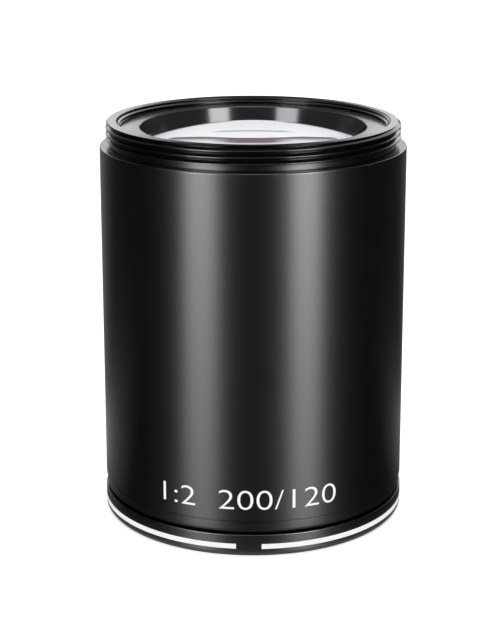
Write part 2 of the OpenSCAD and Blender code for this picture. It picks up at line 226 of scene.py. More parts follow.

# Shape of the ghost, the painted reflection of the cell. Its height goes by how much the glass faces
# the eye, plus the square of the distance from the axis. A pair of numbers is where a change begins
# and ends: in height, in distance to the side or from the axis, or in facing where a comment says so.
GHOST_FACING = 0.259     # facing at which a point on the axis has the height 0
GHOST_SCALE = 22.8       # height for a change of 1 in facing
GHOST_BOW = 0.0083
GHOST_SPAN = (-3.4, 6.6)
GHOST_DROOP_SIDE = (3, 12)
GHOST_DROOP = 0.55
GHOST_HEIGHTS = (0.9, 2.2)
GHOST_REACH = (13.5, 22.0)
GHOST_BLUR = 1.5
GHOST_BACK = (0.2, 0.22)         # facing
LINE_BOW = -0.003
LINE_LOW = (-0.17, 0.03)
LINE_HIGH = (0.23, 0.43)
LINE_SIDE = (7.5, 10.5)
PALE_HEIGHTS = (3.0, 4.1)
PALE_SIDE = (5, 10)
BRINK_FACING = (0.05, 0.08)      # facing
BRINK_R = (25.4, 26.1)
BRINK_SIDE = (4, 9)
# the facing below which the painted glare takes over from the clear glass, and its share there
GLARE_FACING = (0.5, 0.66)       # facing
GLARE_SHARE = 0.97

# Floor: its tone, its glow to the eye, and what reflections show of it: painted shade, with painted
# light behind the object and close to the foot
FLOOR_SIZE = 6.0         # half of its side, in metres
FLOOR_TONE = (0.8, 0.8, 0.8)
FLOOR_GLOW = 0.45
# painted shade: the floor's tone in reflections, away from the painted light
FLOOR_DIM = 0.01
# painted light in reflections close to the foot
FOOT_SHARE = 0.8         # close to the foot
FOOT_EDGE = (38.6, 40.5)
# a painted pool of light behind the object, and a dimmer painted strip of light running on from it,
# seen only in reflections
PATCH_R = 86             # the patch behind is whole inside this radius
PATCH_FALL = -4.5
PATCH_SIDE = (-20, 20)   # from left to right, the patch shrinks and dims over this width
PATCH_SHRINK = -20
PATCH_EDGE = (-15, 55)
PATCH_SHARES = (0.72, 0.6)
AISLE_LEFT = (-0.86, -0.5)
AISLE_RIGHT = (0.5, 0.65)
AISLE_EDGE = (0, 100)
AISLE_SHARES = (0.26, 0.11)

# Room, by the X, Y and Z of a direction: a far wall, two low cards on it, a card over the front
WALL_Y = (0.1, 0.6)
WALL_MIDDLE = 0.028      # how far left of the centre the dark zone lies
DARK_ZONE = (0.045, 0.07)
WALL_LEFT = (-0.85, -0.45)
WALL_LEFT_LEVEL = 0.45
WALL_RIGHT = (0.35, 0.75)
WALL_RIGHT_LEVEL = 0.08
WALL_FOOT = (0.05, 0.16)
WALL_FOOT_LEVEL = 0.12
CARD_SIDE = (0.3, 0.5)
CARD_FOOT = (0.04, 0.1)
CARD_TOP = (0.4, 0.6)
CARD_LEVEL = 0.8
CORNER_X = (-0.45, -0.2)
CORNER_Z = (0.1, 0.25)
CORNER_SHADE = 0.85
OVERHEAD_NEAR = (-0.44, -0.3)
OVERHEAD_FAR = (-0.12, -0.04)
OVERHEAD_Z = (0.6, 0.75)
OVERHEAD_LEVEL = 4.0
ROOM_FILL = 1.22         # level of the light on dull surfaces

# Lamps, in metres
LAMP_DISTANCE = 0.6
LAMP_HEIGHT = 0.4
LAMP_AIM_Z = 0.05

# Camera, fitted to the photo; the tilt is in radians
CAMERA_LENS = 100.5
CAMERA_SENSOR = 36
CAMERA_SHIFT = (-0.0051, -0.0581)
CAMERA_AZIMUTH = math.radians(1.6)
CAMERA_DISTANCE = 421.54
CAMERA_Z = 172.31
CAMERA_TILT = 0.262943

DOWN = Vector((0, -1))
OUT = Vector((1, 0))
UP = Vector((0, 1))


class Skin:
    """Collects points, faces and exact normals, and makes one smooth mesh of them."""

    def __init__(self):
        self.points, self.normals, self.faces = [], [], []

    def add(self, point, normal):
        """Adds a point and returns its index."""
        self.points.append(point)
        self.normals.append(normal)
        return len(self.points) - 1

    def add_round(self, angle, r, z, normal):
        """Adds a point of a profile, turned round the axis by an angle."""
        c, s = math.cos(angle), math.sin(angle)
        return self.add((r * c, r * s, z), (normal.x * c, normal.x * s, normal.y))

    def quad(self, *corners):
        """Adds a face, without the corners that fall together."""
        ring = list(dict.fromkeys(corners))
        if len(ring) > 2:
            self.faces.append(ring)

    def build(self, name, material, node):
        """Makes the mesh, as a piece that stands in for a node."""
        mesh = bpy.data.meshes.new(name)
        mesh.from_pydata([tuple(c * MM for c in p) for p in self.points], [], self.faces)
        mesh.polygons.foreach_set("use_smooth", [True] * len(mesh.polygons))
        mesh.normals_split_custom_set_from_vertices([Vector(n).normalized() for n in self.normals])
        mesh.materials.append(material)
        piece = bpy.data.objects.new(name, mesh)
        bpy.context.scene.collection.objects.link(piece)
        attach(piece, "root")
        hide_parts(node)


def softened(profile, radius, closed=True, steps=4):
    """Rounds each corner of a profile; gives (radius, height, normal) at each point.

    A corner may name a radius of its own. The two end corners of an open profile only give the
    directions of the ends, and get no points.
    """
    out = []
    count = len(profile)
    for i in range(count) if closed else range(1, count - 1):
        before, here, after = (Vector(profile[k % count][:2]) for k in (i - 1, i, i + 1))
        d1, d2 = (here - before), (after - here)
        # two roundings on one side stay clear of each other
        reach = min(d1.length, d2.length) * 0.45
        d1.normalize()
        d2.normalize()
        turn = math.atan2(d1.x * d2.y - d1.y * d2.x, d1.dot(d2))
        n1, n2 = Vector((d1.y, -d1.x)), Vector((d2.y, -d2.x))
        # a slight bend is part of a drawn curve, and stays
        if abs(turn) < 0.2:
            out.append((here.x, here.y, (n1 + n2).normalized()))
            continue
        own = profile[i][2] if len(profile[i]) > 2 else radius
        cut = min(reach, own * math.tan(abs(turn) / 2))
        r = cut / math.tan(abs(turn) / 2)
        side = 1 if turn > 0 else -1
        centre = here - d1 * cut - n1 * r * side
        for k in range(steps + 1):
            c, s = math.cos(turn * k / steps), math.sin(turn * k / steps)
            n = Vector((n1.x * c - n1.y * s, n1.x * s + n1.y * c))
            p = centre + n * r * side
            out.append((p.x, p.y, n))
    return out


def spin(skin, rows, closed=True, segments=SEGMENTS, start=0.0, sweep=math.tau):
    """Spins rows of (radius, height, normal) about the axis; returns the vertex table."""
    columns = segments if sweep == math.tau else segments + 1
    table = []
    for r, z, n in rows:
        if r < 1e-6:
            table.append([skin.add((0.0, 0.0, z), (0.0, 0.0, n.y))] * columns)
            continue
        table.append([skin.add_round(start + sweep * j / segments, r, z, n) for j in range(columns)])
    pairs = len(rows) if closed else len(rows) - 1
    for i in range(pairs):
        low, high = table[i], table[(i + 1) % len(rows)]
        for j in range(segments):
            k = (j + 1) % columns
            skin.quad(low[j], low[k], high[k], high[j])
    return table


def turned(name, profile, edge, material, node):
    """A turned piece with slightly broken edges, in the place of a solid."""
    skin = Skin()
    spin(skin, softened(profile, edge))
    skin.build(name, material, node)


def node_material(name, colour, roughness, metallic=0.0, specular=0.5):
    """A new material with its shader, ready for more nodes."""
    material = bpy.data.materials.new(name)
    material.use_nodes = True
    tree = material.node_tree
    shader = tree.nodes["Principled BSDF"]
    shader.inputs["Base Color"].default_value = (*colour, 1)
    shader.inputs["Roughness"].default_value = roughness
    shader.inputs["Metallic"].default_value = metallic
    shader.inputs["Specular IOR Level"].default_value = specular
    return material, tree, shader


def ramp(tree, value, low, high, to_low=0.0, to_high=1.0):
    """Maps low..high onto to_low..to_high, and stays at these levels outside."""
    node = tree.nodes.new("ShaderNodeMapRange")
    node.inputs["From Min"].default_value = low
    node.inputs["From Max"].default_value = high
    node.inputs["To Min"].default_value = to_low
    node.inputs["To Max"].default_value = to_high
    tree.links.new(value, node.inputs["Value"])
    return node.outputs["Result"]


def fall(tree, value, low, high):
    """1 up to low, and 0 from high on."""
    return ramp(tree, value, low, high, 1.0, 0.0)


def maths(tree, operation, *values):
    """A maths node; each value is a socket or a plain number."""
    node = tree.nodes.new("ShaderNodeMath")
    node.operation = operation
    for i, value in enumerate(values):
        if isinstance(value, (int, float)):
            node.inputs[i].default_value = value
        else:
            tree.links.new(value, node.inputs[i])
    return node.outputs[0]


def product(tree, *values):
    """The product of two or more values."""
    result = values[0]
    for value in values[1:]:
        result = maths(tree, "MULTIPLY", result, value)
    return result


def total(tree, *values):
    """The sum of two or more values."""
    result = values[0]
    for value in values[1:]:
        result = maths(tree, "ADD", result, value)
    return result


def mixed(tree, share, one, two):
    """Colour one, and more of colour two as the share grows; each is a socket or a plain colour."""
    node = tree.nodes.new("ShaderNodeMix")
    node.data_type = "RGBA"
    tree.links.new(share, node.inputs[0])
    for socket, colour in ((node.inputs[6], one), (node.inputs[7], two)):
        if isinstance(colour, tuple):
            socket.default_value = (*colour, 1)
        else:
            tree.links.new(colour, socket)
    return node.outputs[2]


def mixed_shaders(tree, share, one, two):
    """Shader one, and more of shader two as the share grows."""
    node = tree.nodes.new("ShaderNodeMixShader")
    tree.links.new(share, node.inputs["Fac"])
    tree.links.new(one, node.inputs[1])
    tree.links.new(two, node.inputs[2])
    return node.outputs["Shader"]


def colour_steps(tree, value, stops):
    """A run of colours through (position, colour) stops."""
    node = tree.nodes.new("ShaderNodeValToRGB")
    elements = node.color_ramp.elements
    while len(elements) < len(stops):
        elements.new(0.5)
    for element, (at, colour) in zip(elements, stops):
        element.position = at
        element.color = (*colour, 1)
    tree.links.new(value, node.inputs["Fac"])
    return node.outputs["Color"]


def object_point(tree, scale=(1, 1, 1)):
    """The point in the object's own frame, stretched by a scale."""
    place = tree.nodes.new("ShaderNodeTexCoord")
    stretch = tree.nodes.new("ShaderNodeMapping")
    stretch.inputs["Scale"].default_value = scale
    tree.links.new(place.outputs["Object"], stretch.inputs["Vector"])
    return stretch.outputs["Vector"]


def along_axes(tree, vector):
    """The X, Y and Z of a vector."""
    node = tree.nodes.new("ShaderNodeSeparateXYZ")
    tree.links.new(vector, node.inputs["Vector"])
    return node.outputs["X"], node.outputs["Y"], node.outputs["Z"]


def length(tree, vector):
    """The length of a vector."""
    node = tree.nodes.new("ShaderNodeVectorMath")
    node.operation = "LENGTH"
    tree.links.new(vector, node.inputs[0])
    return node.outputs["Value"]


def noise(tree, vector, scale, detail=2.0):
    """Soft noise with a number of cycles per metre."""
    node = tree.nodes.new("ShaderNodeTexNoise")
    node.inputs["Scale"].default_value = scale
    node.inputs["Detail"].default_value = detail
    tree.links.new(vector, node.inputs["Vector"])
    return node.outputs["Fac"]


def spread(tree, cloud, low, high):
    """Maps noise, which keeps to about 0.25..0.75, onto a range."""
    return ramp(tree, cloud, 0.25, 0.75, low, high)


def bump(tree, height, depth, strength, shader):
    """Gives a shader fine relief."""
    node = tree.nodes.new("ShaderNodeBump")
    node.inputs["Distance"].default_value = depth
    node.inputs["Strength"].default_value = strength
    tree.links.new(height, node.inputs["Height"])
    tree.links.new(node.outputs["Normal"], shader.inputs["Normal"])


def outside_bands(tree, point, bands):
    """1 on the blasted wall, and 0 between each pair of heights."""
    z = along_axes(tree, point)[2]
    levels = [(0.0, 1.0)]
    for low, high in bands:
        levels += [(low - SMOOTH_BLUR, 1.0), (low + SMOOTH_BLUR, 0.0)]
        levels += [(high - SMOOTH_BLUR, 0.0), (high + SMOOTH_BLUR, 1.0)]
    stops = [(at / 100, (level, level, level)) for at, level in levels]
    return colour_steps(tree, ramp(tree, z, 0.0, 100 * MM), stops)


def anodised(name, colour, rough, grain=0.02, specular=0.5, turning=0.0, smooth_bands=()):
    """Black anodised aluminium: fine grain of a depth, a slightly uneven sheen, turning marks."""
    material, tree, shader = node_material(name, colour, rough[0], specular=specular)
    point = object_point(tree)
    if turning:
        around = tree.nodes.new("ShaderNodeTangent")
        around.direction_type = "RADIAL"
        around.axis = "Z"
        tree.links.new(around.outputs["Tangent"], shader.inputs["Tangent"])
        shader.inputs["Anisotropic"].default_value = turning
        # a quarter turn lays the marks round the axis
        shader.inputs["Anisotropic Rotation"].default_value = 0.25
    sheen = spread(tree, noise(tree, point, CLOUD_SCALE), *rough)
    fine = noise(tree, point, GRAIN_SCALE, detail=1.0)
    if smooth_bands:
        blasted = outside_bands(tree, point, smooth_bands)
        kept = ramp(tree, blasted, 0.0, 1.0, SMOOTH_SHARE, 1.0)
        sheen = product(tree, sheen, kept)
        fine = product(tree, fine, kept)
        marks = ramp(tree, blasted, 0.0, 1.0, SMOOTH_TURNING, turning)
        tree.links.new(marks, shader.inputs["Anisotropic"])
    tree.links.new(sheen, shader.inputs["Roughness"])
    bump(tree, fine, grain * MM, GRAIN_STRENGTH, shader)
    return material


def mottled(name, colour, roughness, scale, change, metallic=0.0):
    """A plain finish whose tone and sheen vary slightly."""
    material, tree, shader = node_material(name, colour, roughness, metallic=metallic)
    cloud = noise(tree, object_point(tree), scale)
    darker = tuple(c * (1 - change) for c in colour)
    lighter = tuple(min(1.0, c * (1 + change)) for c in colour)
    tree.links.new(mixed(tree, cloud, darker, lighter), shader.inputs["Base Color"])
    tree.links.new(spread(tree, cloud, roughness * 0.9, roughness * 1.1), shader.inputs["Roughness"])
    return material


def glass(name, index, rim, glare=False):
    """Coated optical glass with a blackened rim; where asked, with a painted glare over it."""
    material, tree, shader = node_material(name, (1, 1, 1), 0.0)
    shader.inputs["Transmission Weight"].default_value = 1.0
    shader.inputs["IOR"].default_value = index
    shader.inputs["Thin Film Thickness"].default_value = COATING_NM
    shader.inputs["Thin Film IOR"].default_value = COATING_INDEX
    paint = tree.nodes.new("ShaderNodeBsdfPrincipled")
    paint.inputs["Base Color"].default_value = (*RIM_PAINT, 1)
    paint.inputs["Roughness"].default_value = 0.7
    away = product(tree, length(tree, object_point(tree, (1, 1, 0))), 1 / MM)
    clear = shader.outputs["BSDF"]
    # the dome of the rear crown lens gets a painted glare, a painted reflection over the clear glass
    if glare:
        x = along_axes(tree, object_point(tree))[0]
        clear = painted_glare_over(tree, clear, away, product(tree, x, 1 / MM))
    edge = maths(tree, "GREATER_THAN", away, rim - RIM_PAINT_T)
    surface = mixed_shaders(tree, edge, clear, paint.outputs["BSDF"])
    tree.links.new(surface, tree.nodes["Material Output"].inputs["Surface"])
    return material


def painted_glare_over(tree, clear, away, x):
    """Painted glare: a dull layer whose colour paints the pale reflection of a coated dome at a flat
    angle, with the ghost of the cell in it.

    away is the distance from the axis, and x the distance to the right.
    """
    weight = tree.nodes.new("ShaderNodeLayerWeight")
    weight.inputs["Blend"].default_value = 0.5
    facing = fall(tree, weight.outputs["Facing"], 0.0, 1.0)
    side = maths(tree, "ABSOLUTE", x)
    height = ramp(tree, facing, GHOST_FACING - 1, GHOST_FACING + 1, -GHOST_SCALE, GHOST_SCALE)
    height = total(tree, height, product(tree, away, away, GHOST_BOW))

    # painted shade and light: the thin dark line, the stripe in the ghost, and its paler flanks
    line = total(tree, height, product(tree, x, x, LINE_BOW))
    line = product(tree, ramp(tree, line, *LINE_LOW), fall(tree, line, *LINE_HIGH))
    line = product(tree, line, fall(tree, side, *LINE_SIDE))
    height = total(tree, height, ramp(tree, side, *GHOST_DROOP_SIDE, 0.0, GHOST_DROOP))
    flank = product(tree, ramp(tree, height, *PALE_HEIGHTS), ramp(tree, side, *PALE_SIDE))
    stops = [(at, tuple(GLARE_LEVEL * c for c in colour)) for at, colour in GLARE_STOPS]
    tone = colour_steps(tree, ramp(tree, height, *GHOST_SPAN), stops)
    tone = mixed(tree, line, tone, LINE_TONE)
    tone = mixed(tree, flank, tone, PALE_TONE)

    # the painted ghost lies inside a reach that grows with the height; the painted glare is plain
    # outside
    reach = ramp(tree, height, *GHOST_HEIGHTS, *GHOST_REACH)
    inside = ramp(tree, maths(tree, "SUBTRACT", reach, away), 0.0, GHOST_BLUR)
    inside = product(tree, inside, ramp(tree, facing, *GHOST_BACK))
    tone = mixed(tree, inside, tuple(GLARE_LEVEL * c for c in GLARE_COLOUR), tone)

    # painted shade: the glass is painted dark at its skyline and at its edge, but not in the middle
    brink = maths(tree, "MAXIMUM", fall(tree, facing, *BRINK_FACING), ramp(tree, away, *BRINK_R))
    brink = product(tree, brink, ramp(tree, side, *BRINK_SIDE))
    tone = mixed(tree, brink, tone, BRINK_TONE)
    # a dull layer carries the painted glare, and takes over where the glass is seen at a flat angle
    painted_glare_layer = tree.nodes.new("ShaderNodeBsdfPrincipled")
    painted_glare_layer.inputs["Roughness"].default_value = 0.5
    painted_glare_layer.inputs["Specular IOR Level"].default_value = 0.1
    tree.links.new(tone, painted_glare_layer.inputs["Base Color"])
    share = ramp(tree, facing, *GLARE_FACING, GLARE_SHARE, 0.0)
    return mixed_shaders(tree, share, clear, painted_glare_layer.outputs["BSDF"])


SATIN = anodised("satin_black_anodised", colour=(0.0016, 0.0016, 0.0017), rough=(0.385, 0.40),
                 specular=1.0, turning=0.82, smooth_bands=SMOOTH_BANDS)
GLOSS = anodised("gloss_black_anodised", colour=(0.019, 0.0195, 0.022), rough=(0.14, 0.17),
                 grain=0.004, turning=0.4)
MATT = anodised("matt_black_anodised", colour=(0.004, 0.004, 0.004), rough=(0.6, 0.7))
BRASS = mottled("brass_shim", colour=(0.75, 0.6, 0.3), roughness=0.3, scale=300.0, change=0.05,
                metallic=1.0)
WHITE = mottled("white_paint", colour=(0.96, 0.96, 0.96), roughness=0.5, scale=700.0, change=0.02)
GLASS = glass("coated_glass", index=1.52, rim=26.0)

SLOT_MATERIALS = {
    "satin_black_anodised": SATIN, "gloss_black_anodised": GLOSS, "matt_black_anodised": MATT,
    "coated_glass": GLASS, "brass_shim": BRASS, "white_paint": WHITE,
}


def dress_nodes():
    """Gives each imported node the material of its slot."""
    for part in frame["record"]["subparts"]:
        node = frame["nodes"][part["node"]]
        node.data.materials.clear()
        node.data.materials.append(SLOT_MATERIALS[part["material_slot"]])


def thread_period(root_r, crest_r, pitch, crest, root, cut):
    """One pitch of a V thread as (share of pitch, radius, normal), from root to root.

    Each corner is cut back along both its sides, by cut at the crest and a third of it at the root.
    """
    half = pitch / 2
    corners = [
        (-half, root_r), (-half + root / 2, root_r), (-crest / 2, crest_r),
        (crest / 2, crest_r), (half - root / 2, root_r), (half, root_r),
    ]
    rows = []
    for i in range(1, len(corners) - 1):
        before, here, after = (Vector(corners[k]) for k in (i - 1, i, i + 1))
        own = cut if corners[i][1] == crest_r else cut / 3
        for d, shift in (((here - before).normalized(), -own), ((after - here).normalized(), own)):
            p = here + d * shift
            rows.append((p.x / pitch, p.y, Vector((d.x, -d.y))))
    return rows


def helix(skin, period, pitch, front_z, low_z, high_z, limit, outward):
    """A right-hand thread between two heights; returns its two end lines.

    A crest is at front_z at the front, and limit gives the radius that the chamfer leaves.
    """
    first = math.floor((low_z - front_z) / pitch) - 2
    last = math.ceil((high_z - front_z) / pitch) + 2
    rows = [(m + u, r, n) for m in range(first, last) for u, r, n in period]
    phases = [row[0] for row in rows]
    angles = [math.tau * j / SEGMENTS for j in range(SEGMENTS)]
    turns = [(a + math.pi / 2) / math.tau for a in angles]
    ends = []
    for z in (low_z, high_z):
        line = []
        for a, turn in zip(angles, turns):
            phase = (z - front_z) / pitch - turn
            k = max(i for i, p in enumerate(phases) if p <= phase)
            share = (phase - phases[k]) / (phases[k + 1] - phases[k])
            r = rows[k][1] + (rows[k + 1][1] - rows[k][1]) * share
            line.append(skin.add_round(a, limit(r, z), z, rows[k][2]))
        ends.append(line)
    table = []
    for phase, r, n in rows:
        line = []
        for j in range(SEGMENTS):
            z = front_z + pitch * (phase + turns[j])
            if z <= low_z:
                line.append(ends[0][j])
            elif z >= high_z:
                line.append(ends[1][j])
            else:
                line.append(skin.add_round(angles[j], limit(r, z), z, n))
        table.append(line)
    for i in range(len(rows) - 1):
        for j in range(SEGMENTS):
            k = (j + 1) % SEGMENTS
            # one turn on, the helix has risen by a whole pitch
            step = len(period) if k == 0 else 0
            if i < step:
                continue
            near = (table[i][j], table[i + 1][j])
            far = (table[i - step][k], table[i + 1 - step][k])
            if outward:
                skin.quad(near[0], far[0], far[1], near[1])
            else:
                skin.quad(near[0], near[1], far[1], far[0])
    return ends


def bridge(skin, low, high):
    """Joins two lines of points that run round the axis."""
    for j in range(SEGMENTS):
        k = (j + 1) % SEGMENTS
        skin.quad(low[j], low[k], high[k], high[j])


def mount_thread(skin):
    """The mount thread outside the rim; returns its two end lines."""
    period = thread_period(THREAD_R - THREAD_DEPTH, THREAD_R, THREAD_PITCH,
                           THREAD_CREST, THREAD_ROOT, THREAD_ROUND)

    def chamfered(r, z):
        return min(r, THREAD_R - (z - (RIM_Z - THREAD_CHAMFER)))

    return helix(skin, period, THREAD_PITCH, CREST_Z, THREAD_Z, RIM_Z, chamfered, outward=True)


def rim_thread(skin):
    """The thread inside the rim, made as a male one and mirrored; returns its two end lines."""
    male = thread_period(RIM_BORE_R - RIM_THREAD_DEPTH / 2, RIM_BORE_R + RIM_THREAD_DEPTH / 2,
                         RIM_PITCH, RIM_THREAD_CREST, RIM_THREAD_ROOT, RIM_THREAD_ROUND)
    period = [(u, RIM_BORE_R * 2 - r, Vector((-n.x, n.y))) for u, r, n in male]

    def chamfered(r, z):
        return max(r, RIM_BORE_R + (z - (RIM_Z - RIM_CHAMFER)))

    return helix(skin, period, RIM_PITCH, RIM_CREST_Z, RIM_THREAD_Z, RIM_Z, chamfered, outward=False)


def main_barrel():
    """The barrel with its two threads, in the place of the plain solid."""
    cell_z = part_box("rear_cell")[1].z / MM
    lip_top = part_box("rear_cell")[0].z / MM
    lip_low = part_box("focus_shim")[1].z / MM
    relief_z = COLLAR_TOP_Z + THREAD_RELIEF
    groove_z = SHOULDER_Z + UNDERCUT_H
    profile = [
        (RIM_BORE_R, RIM_Z),
        (RIM_BORE_R, cell_z), (REAR_BORE_R, cell_z), (REAR_BORE_R, lip_top), (LIP_R, lip_top),
        (LIP_R, lip_low), (FRONT_BORE_R, lip_low), (FRONT_BORE_R, relief_z),
        (COLLAR_THREAD_R, relief_z), (COLLAR_THREAD_R, SEAM_Z),
        (WALL_R - EDGE_CHAMFER, SEAM_Z), (WALL_R, SEAM_Z + EDGE_CHAMFER),
        (WALL_R, SHOULDER_Z, EDGE_ROUND), (NECK_R - UNDERCUT, SHOULDER_Z),
        (NECK_R - UNDERCUT, groove_z), (NECK_R, groove_z), (NECK_R, THREAD_Z),
        (THREAD_R, THREAD_Z),
    ]
    skin = Skin()
    # the first line of the mount thread takes the place of the last row
    wall = spin(skin, softened(profile, BARREL_EDGE, closed=False)[:-1], closed=False)
    outer_low, outer_high = mount_thread(skin)
    bridge(skin, wall[-1], outer_low)
    inner_low, inner_high = rim_thread(skin)
    bridge(skin, inner_low, wall[0])
    rim = [[skin.add(skin.points[i], (0, 0, 1)) for i in line] for line in (outer_high, inner_high)]
    bridge(skin, *rim)
    skin.build("barrel", SATIN, "main_barrel")


def rear_ring():
    """The glossy ring inside the rim, with its conical bore."""
    face_z = RIM_Z - RING_DROP
    seat_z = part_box("rear_retaining_ring")[0].z / MM
    outer = RIM_BORE_R - RIM_THREAD_DEPTH / 2 - RING_PLAY
    turned("retaining_ring", [
        (RING_SEAT_R, seat_z), (outer, seat_z), (outer, face_z),
        (RING_MOUTH_R + RING_CHAMFER, face_z), (RING_MOUTH_R, face_z - RING_CHAMFER),
    ], RING_EDGE, GLOSS, "rear_retaining_ring")


def front_collar():
    """The rounded band under the seam, with its spigot and its threaded length inside."""
    rounding = [
        (COLLAR_R - COLLAR_ROUND * (1 - math.sin(a)), COLLAR_Z + COLLAR_ROUND * (1 - math.cos(a)))
        for a in (math.pi / 2 * i / COLLAR_STEPS for i in range(COLLAR_STEPS + 1))
    ]
    slot_z = SEAM_Z - SEAM_SLOT
    inner_r = COLLAR_THREAD_R - THREAD_FIT
    turned("collar", [
        (NOSE_HOLE_R, NOSE_FLOOR), (SPIGOT_R, NOSE_FLOOR), (SPIGOT_R, COLLAR_Z), *rounding,
        (COLLAR_R, slot_z), (COLLAR_R - SEAM_DEPTH, slot_z), (COLLAR_R - SEAM_DEPTH, SEAM_Z),
        (inner_r, SEAM_Z), (inner_r, COLLAR_TOP_Z), (FRONT_BORE_R, COLLAR_TOP_Z),
        (FRONT_BORE_R, FRONT_CELL_Z), (COLLAR_HOLE_R, FRONT_CELL_Z),
        (COLLAR_HOLE_R, FRONT_CELL_Z - COLLAR_LIP_T),
    ], COLLAR_EDGE, SATIN, "front_collar")


def nose_ring():
    """The ring that the objective stands on, with its conical mouth."""
    turned("nose", [
        (NOSE_MOUTH_R, 0), (NOSE_R - NOSE_LOW_CHAMFER, 0),
        (NOSE_R, NOSE_LOW_CHAMFER, NOSE_LOW_ROUND), (NOSE_R, NOSE_H, NOSE_TOP_ROUND),
        (SPIGOT_R + THREAD_FIT, NOSE_H), (SPIGOT_R + THREAD_FIT, NOSE_FLOOR),
        (NOSE_HOLE_R, NOSE_FLOOR),
    ], NOSE_EDGE, SATIN, "nose_ring")


def white_band():
    """The paint, a hair proud of the nose ring, with its gap at the front."""
    floor_r, paint_r = NOSE_R - BAND_DEPTH, NOSE_R + BAND_PROUD
    top_z = BAND_Z + BAND_H
    rows = softened([
        (floor_r, BAND_Z), (paint_r, BAND_Z), (paint_r, top_z), (floor_r, top_z),
    ], BAND_EDGE)
    half_gap = math.asin(BAND_GAP / 2 / NOSE_R)
    skin = Skin()
    table = spin(skin, rows, start=-math.pi / 2 + half_gap, sweep=math.tau - 2 * half_gap)
    for column in (0, -1):
        cap = [skin.add(skin.points[line[column]], (0, 0, 1)) for line in table]
        skin.faces.append(cap if column else cap[::-1])
    skin.build("band", WHITE, "white_band")


def face(apex, curve, r):
    """Height and upward normal of a spherical face at a distance from the axis."""
    rise = math.sqrt(curve * curve - r * r)
    if curve > 0:
        return apex - curve + rise, Vector((r, rise)) / curve
    return apex - curve - rise, Vector((-r, rise)) / -curve


def lens(node, index, rim, upper, lower, upper_clear=None, lower_clear=None, steps=20):
    """A lens with true spherical faces; upper and lower are (apex height, curve).

    A face with a clear radius has a flat edge from there to the rim.
    """
    upper_clear = upper_clear or rim
    lower_clear = lower_clear or rim
    low_edge, top_edge = face(*lower, lower_clear)[0], face(*upper, upper_clear)[0]
    rows = []
    for i in range(steps + 1):
        r = lower_clear * i / steps
        z, n = face(*lower, r)
        rows.append((r, z, -n))
    if lower_clear < rim:
        rows += [(lower_clear, low_edge, DOWN), (rim, low_edge, DOWN)]
    rows += [(rim, low_edge, OUT), (rim, top_edge, OUT)]
    if upper_clear < rim:
        rows += [(rim, top_edge, UP), (upper_clear, top_edge, UP)]
    for i in range(steps, -1, -1):
        r = upper_clear * i / steps
        rows.append((r, *face(*upper, r)))
    skin = Skin()
    spin(skin, rows, closed=False, segments=LENS_SEGMENTS)
    material = glass(node + "_glass", index, rim, glare=node == "rear_crown_lens")
    skin.build(node + "_piece", material, node)


def lenses():
    """The seven lenses, from the dome down."""
    crown_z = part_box("rear_crown_lens")[1].z / MM
    cement_z = crown_z - REAR_CROWN_T
    flint_z = cement_z - REAR_FLINT_T
    meniscus_z = flint_z - MENISCUS_GAP
    lens("rear_crown_lens", index=1.497, rim=29, upper=(crown_z, 85),
         lower=(cement_z - CEMENT, REAR_CEMENT_CURVE), steps=40)
    lens("rear_flint_lens", index=1.728, rim=29, upper=(cement_z, REAR_CEMENT_CURVE),
         lower=(flint_z, 400), lower_clear=27)
    lens("rear_meniscus_lens", index=1.62, rim=27, upper=(meniscus_z, 67),
         lower=(meniscus_z - MENISCUS_T, 47), lower_clear=24)

    # the box ends at the flat edge, which lies over the apex of this hollow face
    edge_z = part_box("middle_flint_lens")[1].z / MM
    hollow_z = edge_z - face(0, MIDDLE_TOP_CURVE, MIDDLE_CLEAR_R)[0]
    cement_z = hollow_z - MIDDLE_FLINT_T
    lens("middle_flint_lens", index=1.728, rim=26, upper=(hollow_z, MIDDLE_TOP_CURVE),
         lower=(cement_z - CEMENT, MIDDLE_CEMENT_CURVE), upper_clear=MIDDLE_CLEAR_R)
    lens("middle_crown_lens", index=1.497, rim=26, upper=(cement_z, MIDDLE_CEMENT_CURVE),
         lower=(cement_z - MIDDLE_CROWN_T, -138))

    front_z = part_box("front_crown_lens")[0].z / MM
    cement_z = front_z + FRONT_CROWN_T
    lens("front_crown_lens", index=1.804, rim=27, upper=(cement_z, FRONT_CEMENT_CURVE),
         lower=(front_z, -212))
    lens("front_flint_lens", index=1.613, rim=27, upper=(cement_z + FRONT_FLINT_T, -500),
         lower=(cement_z - CEMENT, FRONT_CEMENT_CURVE), upper_clear=25)


